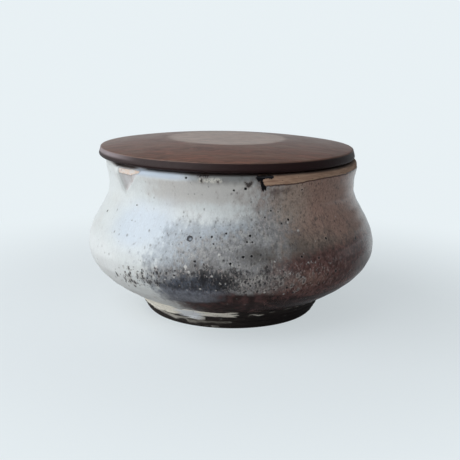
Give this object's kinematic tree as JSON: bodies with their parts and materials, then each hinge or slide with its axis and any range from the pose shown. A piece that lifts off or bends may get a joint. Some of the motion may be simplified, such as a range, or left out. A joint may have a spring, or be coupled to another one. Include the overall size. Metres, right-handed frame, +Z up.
{
  "type": "lidded pot",
  "caption": "Round-bellied stoneware pot with a drawn-in neck, a pulled pouring lip and a turned wooden lid that lifts off; holds dry food, salt or tea.",
  "frame": {"origin": "centre of the foot ring where it stands on the table", "axes": "+Z up along the axis that the pot was thrown on, -X towards the pouring lip"},
  "size_m": [0.1226, 0.1226, 0.0735],
  "materials": {
    "glazed_stoneware": "ash glaze, satin, cream to slate grey, bare clay at the foot",
    "walnut": "dark oiled walnut, fine straight grain"
  },
  "bodies": {
    "pot": {"pot_body": "glazed_stoneware"},
    "lid": {"wooden_lid": "walnut"}
  },
  "joints": [
    {"name": "lid_lift", "type": "slide", "parent": "pot", "child": "lid", "axis": [0, 0, 1], "range_m": [0, 0.12]}
  ]
}
